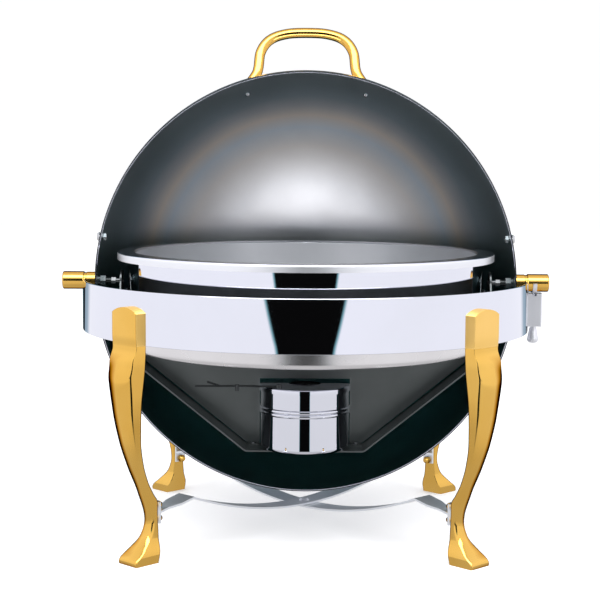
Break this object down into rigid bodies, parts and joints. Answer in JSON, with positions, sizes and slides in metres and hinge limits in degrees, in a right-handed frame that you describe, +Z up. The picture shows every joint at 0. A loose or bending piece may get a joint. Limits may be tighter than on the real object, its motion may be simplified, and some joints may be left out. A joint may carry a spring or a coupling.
{
  "type": "chafing dish",
  "caption": "Round roll-top chafing dish: domed lid on side pivots over a food pan and water pan, with a burner hung below, a polished ring and cabriole legs.",
  "frame": {"origin": "on the floor under the middle of the lid's pivot axis, which is also the centre of the stand", "axes": "+Z up, -Y towards the user (the open side), +X along the pivot axis to the user's right"},
  "size_m": [0.492, 0.448, 0.5106],
  "materials": {
    "chrome": "mirror polished stainless steel",
    "gold": "bright gold plating",
    "lid_steel": "satin dark steel inside, polished outside",
    "pan_steel": "polished wall with a satin inside",
    "satin_steel": "satin",
    "screw_steel": "machined",
    "can_metal": "tinned",
    "spring_steel": "drawn wire"
  },
  "bodies": {
    "stand": {"support_ring": "chrome", "leg_front_left": "gold", "leg_front_right": "gold", "leg_rear_left": "gold", "leg_rear_right": "gold", "leg_screws": "screw_steel", "brace_upper": "chrome", "brace_lower": "chrome", "brace_rivet": "chrome", "brace_nuts": "gold", "brake_housing": "chrome", "brake_screws": "screw_steel", "brake_spring": "spring_steel"},
    "lid": {"lid_shell": "lid_steel", "lid_handle": "gold", "handle_screws": "screw_steel", "lid_side_screws": "screw_steel", "pivot_pin_left": "gold", "pivot_pin_right": "gold", "pivot_nuts": "screw_steel", "ear_nuts": "screw_steel"},
    "pan_frame": {"burner_cradle": "chrome", "shield_plate": "satin_steel", "shield_rivets": "screw_steel", "pan_hoop": "satin_steel", "hoop_rivets": "screw_steel", "burner_cup": "chrome", "cup_screw": "screw_steel", "fuel_can": "can_metal"},
    "water_pan": {"water_pan": "pan_steel"},
    "food_pan": {"food_pan": "pan_steel"},
    "burner_cover": {"burner_cover": "chrome", "burner_lever": "screw_steel", "lever_rivet": "screw_steel"},
    "brake_shoe": {"brake_shoe": "chrome"},
    "brake_knob": {"brake_knob": "chrome"}
  },
  "joints": [
    {"name": "lid_hinge", "type": "hinge", "parent": "stand", "child": "lid", "pos_m": [0, 0, 0.25], "axis": [-1, 0, 0], "range_deg": [-90, 67]},
    {"name": "frame_swing", "type": "hinge", "parent": "stand", "child": "pan_frame", "pos_m": [0, 0, 0.25], "axis": [1, 0, 0], "range_deg": [-8, 8]},
    {"name": "water_pan_lift", "type": "slide", "parent": "pan_frame", "child": "water_pan", "axis": [0, 0, 1], "range_m": [0, 0.05]},
    {"name": "food_pan_lift", "type": "slide", "parent": "water_pan", "child": "food_pan", "axis": [0, 0, 1], "range_m": [0, 0.05]},
    {"name": "cover_turn", "type": "hinge", "parent": "pan_frame", "child": "burner_cover", "pos_m": [0, 0, 0.144], "axis": [0, 0, 1], "range_deg": [0, 80]},
    {"name": "brake_turn", "type": "hinge", "parent": "stand", "child": "brake_knob", "pos_m": [0.2315, 0, 0.206], "axis": [0, 0, 1], "range_deg": [0, 360]},
    {"name": "shoe_slide", "type": "slide", "parent": "stand", "child": "brake_shoe", "axis": [0, 0, 1], "range_m": [-0.001, 0], "deforming": ["brake_spring"]}
  ],
  "couplings": [
    {"joint": "brake_turn", "follows": "shoe_slide", "rad_per_m": -6283.2}
  ]
}
